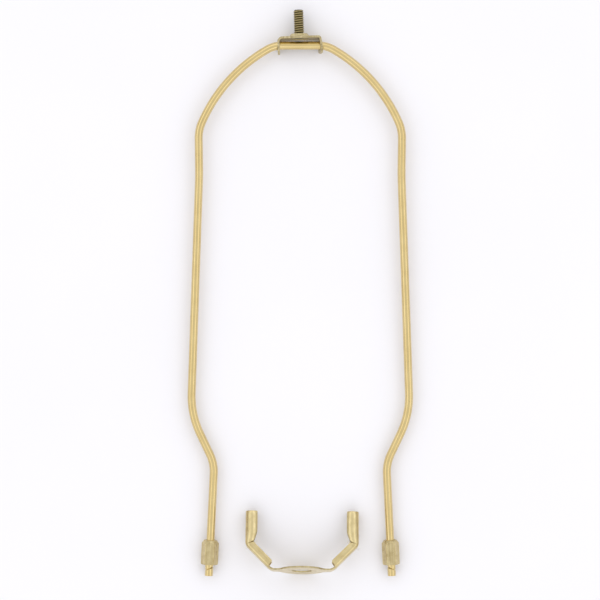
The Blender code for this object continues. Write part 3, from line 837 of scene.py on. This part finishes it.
def darkThread():
    material, tree, shader = newMaterial("dark plated rolled thread", 1.0)
    grain = addNode(tree, "ShaderNodeAttribute", attribute_name="grain").outputs["Vector"]
    flatGrain = addNode(
        tree, "ShaderNodeVectorMath", {0: grain, 1: (1, 1, 0)}, operation="MULTIPLY"
    ).outputs[0]
    away = addNode(tree, "ShaderNodeVectorMath", {0: flatGrain}, operation="LENGTH").outputs["Value"]
    radius = stud["across"] / 2
    height = addMapRange(tree, away, radius - stud["threadDepth"], radius)
    cloud = addNoise(tree, grain, 0.9, 4.0, 0.6)
    worn = addNode(tree, "ShaderNodeMath", {0: cloud, 1: 0.5, 2: -0.25}, operation="MULTIPLY_ADD").outputs[0]
    share = addNode(tree, "ShaderNodeMath", {0: height, 1: worn}, operation="ADD", use_clamp=True).outputs[0]
    ramp = addNode(tree, "ShaderNodeValToRGB", {"Fac": share})
    ramp.color_ramp.elements[0].color = linearColour(studLook["root"])
    ramp.color_ramp.elements[1].color = linearColour(studLook["crest"])
    ramp.color_ramp.elements.new(0.55).color = linearColour(studLook["flank"])
    smooth, coarse = studLook["roughness"]
    rough = addMapRange(tree, share, 0.0, 1.0, coarse, smooth)
    fine = addNoise(tree, grain, 6.0, 2.0)
    bump = addNode(tree, "ShaderNodeBump", {"Height": fine, "Strength": 0.2, "Distance": 0.02 * mm})
    tree.links.new(ramp.outputs["Color"], shader.inputs["Base Color"])
    tree.links.new(rough, shader.inputs["Roughness"])
    tree.links.new(bump.outputs["Normal"], shader.inputs["Normal"])
    return material


# saddle: one sheet with a pierced plate, channel arms and two rolled ears

saddle = {
    "sheet": 0.9,
    "width": 60.6,
    "height": 31.8,
    "flat": 33.6,
    "armSlope": 45,
    "armDepth": 4.3,
    "armEdgeRadius": 2.0,
    "neckBend": 5.0,
    "neckWidth": 6.6,
    "neckFillet": 4.0,
    "cornerBend": 5.2,
    "flangeRun": 1.0,
    "earRadius": 3.55,
    "earSlant": 5.6,
    "earDepth": 6.4,
    "notchFloor": 1.5,
    "notchAngle": 14,
    "plateAcross": 24,
    "slipHole": 10.4,
    "seatAside": 8.5,        # where the mount's point lies on the plate
    "edgeRound": 0.14,
    "columns": 26,           # on each side of the middle line
    "neckRows": 14,
    "flareRows": 12,
    "armRows": 6,
    "cornerRows": 60,
    "slantRows": 24,
    "earRows": 5,
    "holeBand": 0.5,
    "holeRows": 2,
    "plateRows": 10,
    "plateColumns": 40,
    "filletColumns": 12,
    "grainLevel": 60.0,
}
seat = mounts["saddle_seat"]
saddleIn = -Vector(seat["axis"]).normalized()
saddleAcross = saddleIn.cross(Vector((0, 0, 1))).normalized()
plateMiddle = Vector(seat["pos_m"]) - saddle["seatAside"] * mm * saddleAcross
saddleFrame = frameFrom(plateMiddle, saddleAcross, saddleIn)


# where a point this far round a half section comes to lie: straight on the flat, then round the fold's
# radius, then straight on; the share is how far the fold is closed
def foldedSection(width, flat, radius, fold, share):
    if share < 0.001 or width <= flat:
        return width, 0.0
    bent = min(width - flat, radius * fold)
    angle = share * bent / radius
    rest = width - flat - bent
    across = flat + radius / share * math.sin(angle) + rest * math.cos(angle)
    inwards = radius / share * (1 - math.cos(angle)) + rest * math.sin(angle)
    return across, inwards


# widest half section whose flange stays out of the notch, at a heading this far from the notch's middle
def notchedWidth(off, wanted, flat, radius, fold):
    bend = saddle["cornerBend"]
    spread = math.tan(math.radians(saddle["notchAngle"] / 2))
    floor = saddle["notchFloor"]
    low, high = flat, wanted
    for _ in range(30):
        tried = (low + high) / 2
        _, depth = foldedSection(tried, flat, radius, fold, 1.0)
        toCentre = bend - depth
        beside = abs(toCentre * math.sin(off))
        above = bend - toCentre * math.cos(off) - floor
        if depth > floor and (beside < above * spread or toCentre < 0):
            high = tried
        else:
            low = tried
    return low


# half sections from the neck to the ear's end, each with its mark along the strip
def saddleSections():
    slope = math.radians(saddle["armSlope"])
    neckCut = saddle["neckBend"] * math.tan(slope / 2)
    cornerCut = saddle["cornerBend"] * math.tan((math.pi / 2 - slope) / 2)
    run = (saddle["width"] - saddle["flat"]) / 2
    rise = run * math.tan(slope)
    arm = math.hypot(run, rise) - neckCut - cornerCut
    neckStart = saddle["flat"] / 2 - neckCut
    neckEnd = neckStart + saddle["neckBend"] * slope
    flangeEnd = neckEnd + saddle["flangeRun"]
    cornerStart = neckEnd + arm
    cornerEnd = cornerStart + saddle["cornerBend"] * (math.pi / 2 - slope)
    slantEnd = cornerEnd + saddle["earSlant"]
    top = cornerEnd + saddle["height"] - rise - cornerCut
    marks = [neckStart]
    for high, rows in (
        (neckEnd, "neckRows"),
        (flangeEnd, "flareRows"),
        (cornerStart, "armRows"),
        (cornerEnd, "cornerRows"),
        (slantEnd, "slantRows"),
        (top, "earRows"),
    ):
        marks += spaced(marks[-1], high, saddle[rows])[1:]
    armEdge, ear = saddle["armEdgeRadius"], saddle["earRadius"]
    armWidth = ear - armEdge + armEdge * math.pi / 2 + saddle["armDepth"] - armEdge
    earFold = math.pi - math.acos(saddle["earDepth"] / ear - 1)
    middle = (cornerStart + cornerEnd) / 2
    sections = []
    for mark in marks:
        place, heading = saddleLine(mark, neckStart, neckEnd, cornerStart, cornerEnd)
        rolled = easeBetween(mark, cornerStart, slantEnd)
        radius = mixed(armEdge, ear, rolled)
        fold = mixed(math.pi / 2, earFold, rolled)
        if mark <= neckEnd:
            width = saddle["neckWidth"] / 2
        elif mark <= cornerEnd:
            width = mixed(saddle["neckWidth"] / 2, armWidth, easeBetween(mark, neckEnd, flangeEnd))
        else:
            width = mixed(armWidth, ear * earFold, min(1.0, (mark - cornerEnd) / saddle["earSlant"]))
        if cornerStart < mark < cornerEnd:
            off = (mark - middle) / saddle["cornerBend"]
            width = notchedWidth(off, width, ear - radius, radius, fold)
        share = easeBetween(mark, neckStart, neckEnd)
        sections.append((mark, place, heading, width, ear - radius, radius, fold, share))
    return neckStart, sections


# point and heading of the outer face's middle line
def saddleLine(mark, neckStart, neckEnd, cornerStart, cornerEnd):
    slope = math.radians(saddle["armSlope"])
    place = Vector((neckStart, 0, 0))
    heading = 0.0
    stretches = (
        (neckStart, neckEnd, saddle["neckBend"]),
        (neckEnd, cornerStart, None),
        (cornerStart, cornerEnd, saddle["cornerBend"]),
        (cornerEnd, math.inf, None),
    )
    for low, high, radius in stretches:
        if mark <= low:
            break
        along = min(mark, high) - low
        if radius is None:
            place = place + along * Vector((math.cos(heading), math.sin(heading), 0))
        else:
            turned = heading + along / radius
            place = place + radius * Vector(
                (math.sin(turned) - math.sin(heading), math.cos(heading) - math.cos(turned), 0)
            )
            heading = turned
    return place, min(heading, math.pi / 2 if mark > cornerStart else slope)


# right half of the plate's outline, from the neck's lower corner round to the upper one
def plateOutline(neckStart):
    radius, fillet, neck = saddle["plateAcross"] / 2, saddle["neckFillet"], saddle["neckWidth"] / 2
    centre = math.sqrt((radius + fillet) ** 2 - (neck + fillet) ** 2)
    meet = math.atan2(neck + fillet, centre)
    upper = [Vector((0, radius))]
    for a in spaced(0, math.pi / 2 - meet, saddle["plateColumns"])[1:]:
        upper.append(Vector((radius * math.sin(a), radius * math.cos(a))))
    for a in spaced(meet, math.pi / 2, saddle["filletColumns"])[1:]:
        upper.append(Vector((centre - fillet * math.cos(a), neck + fillet - fillet * math.sin(a))))
    upper.append(Vector((neckStart, neck)))
    across = [neck * i / saddle["columns"] for i in range(saddle["columns"] - 1, -saddle["columns"], -1)]
    lower = [Vector((point.x, -point.y)) for point in reversed(upper)]
    return upper + [Vector((neckStart, depth)) for depth in across] + lower


def makeSaddle(materials):
    neckStart, sections = saddleSections()
    work = bmesh.new()
    hole = saddle["slipHole"] / 2
    outline = plateOutline(neckStart)
    columns, level = saddle["columns"], saddle["grainLevel"]
    for side in (-1, 1):
        rows = []
        for ring in ringRows(
            hole, outline, saddle["holeRows"], saddle["plateRows"], hole + saddle["holeBand"]
        ):
            places = [(side * point.x, point.y) for point in ring]
            rows.append([(Vector((x, 0, y)), Vector((x, y, level))) for x, y in places])
        skinRows(work, rows)
        rows = []
        for mark, place, heading, width, flat, radius, fold, share in sections:
            inward = Vector((-math.sin(heading), math.cos(heading), 0))
            row = []
            for j in range(-columns, columns + 1):
                stretch = width * abs(j) / columns
                across, depth = foldedSection(stretch, flat, radius, fold, share)
                point = place + depth * inward
                point.z = math.copysign(across, j)
                point.x *= side
                row.append((point, Vector((side * mark, math.copysign(stretch, j), level))))
            rows.append(row)
        skinRows(work, rows)
    outside = (Vector((hole + 2, 0, 0)), Vector((0, -1, 0)))
    sheetPiece(
        "folded_saddle", work, outside, saddle["sheet"], saddle["edgeRound"], saddleFrame, materials,
        "harp_frame", "saddle", "saddle_plate",
    )


wireBrass = platedMetal("bright brass plated drawn wire", wireLook)
sleeveBrass = platedMetal("dull brass plated hexagonal bar", sleeveLook)
bracketBrass = platedMetal("dull brass plated pressed sheet", bracketLook)
saddleBrass = platedMetal("pale brass plated folded sheet", saddleLook)
shearedEdgeAndShade = platedMetal("sheared sheet edge with painted shade", shearedEdgeAndShadeLook)
print("materials made")

pins = makeBow(wireBrass)
for side in ("left", "right"):
    makeSleeve(side, pins, sleeveBrass)
makeBracket([bracketBrass, shearedEdgeAndShade])
makeStud(darkThread())
makeSaddle([saddleBrass, shearedEdgeAndShade])


# table, light and camera

studio = {
    "table": "#F5F4F8",
    "tableSide": 3.0,         # in metres
    "fullLight": 2.0,         # what white on the tent's ramp stands for
    "coolness": 1.01,         # blue against the red and green of the tent's light
    # brightness of the tent by the sine of the elevation: a bright ring, dimmer walls and top
    "skyPerElevation": [
        (0.0, 0.7), (0.35, 0.92), (0.52, 1.14), (0.62, 1.38), (0.74, 1.33), (0.87, 1.0), (1.0, 0.9)
    ],
    "viewAcross": 321,        # width of the picture at the wire, in millimetres
    "viewMiddle": (-0.16, -3.7),
    "viewHeight": 1250,
    "wireHeight": 5,
}


def makeTable():
    mesh = bpy.data.meshes.new("table")
    half = studio["tableSide"] / 2
    corners = [(-half, -half, 0), (half, -half, 0), (half, half, 0), (-half, half, 0)]
    mesh.from_pydata(corners, [], [(0, 1, 2, 3)])
    table = newObject("table", mesh)
    material, tree, shader = newMaterial("matte white card", 0.0)
    place = addNode(tree, "ShaderNodeTexCoord").outputs["Object"]
    share = addMapRange(tree, addNoise(tree, place, 9.0, 3.0), 0.3, 0.7, 0.985, 1.0)
    tint = linearColour(studio["table"])
    colour = addNode(
        tree, "ShaderNodeVectorMath", {0: tint[:3], "Scale": share}, operation="SCALE"
    ).outputs[0]
    tree.links.new(colour, shader.inputs["Base Color"])
    shader.inputs["Roughness"].default_value = 0.9
    shader.inputs["Specular IOR Level"].default_value = 0.2
    mesh.materials.append(material)


# light tent: bright all round, darker overhead where the camera looks in
def makeSky():
    world = bpy.data.worlds.new("light tent")
    bpy.context.scene.world = world
    world.use_nodes = True
    tree = world.node_tree
    direction = addNode(tree, "ShaderNodeTexCoord").outputs["Generated"]
    up = addNode(tree, "ShaderNodeSeparateXYZ", {0: direction}).outputs["Z"]
    ramp = addNode(tree, "ShaderNodeValToRGB", {"Fac": up})
    ramp.color_ramp.interpolation = "EASE"
    points = ramp.color_ramp.elements
    points.remove(points[-1])
    for i, (place, light) in enumerate(studio["skyPerElevation"]):
        point = points.new(place) if i else points[0]
        point.position = place
        share = light / studio["fullLight"]
        point.color = (share, share, share * studio["coolness"], 1)
    background = tree.nodes["Background"]
    tree.links.new(ramp.outputs["Color"], background.inputs["Color"])
    background.inputs["Strength"].default_value = studio["fullLight"]


def makeCamera():
    camera = bpy.data.cameras.new("camera")
    camera.sensor_width = 36
    camera.lens = camera.sensor_width * studio["viewHeight"] / studio["viewAcross"]
    camera.clip_end = 20
    made = newObject("camera", camera)
    x, y = studio["viewMiddle"]
    made.location = (x * mm, y * mm, (studio["viewHeight"] + studio["wireHeight"]) * mm)
    bpy.context.scene.camera = made
    bpy.context.scene.view_settings.view_transform = "Standard"


makeTable()
makeSky()
makeCamera()
print("table, light and camera made")
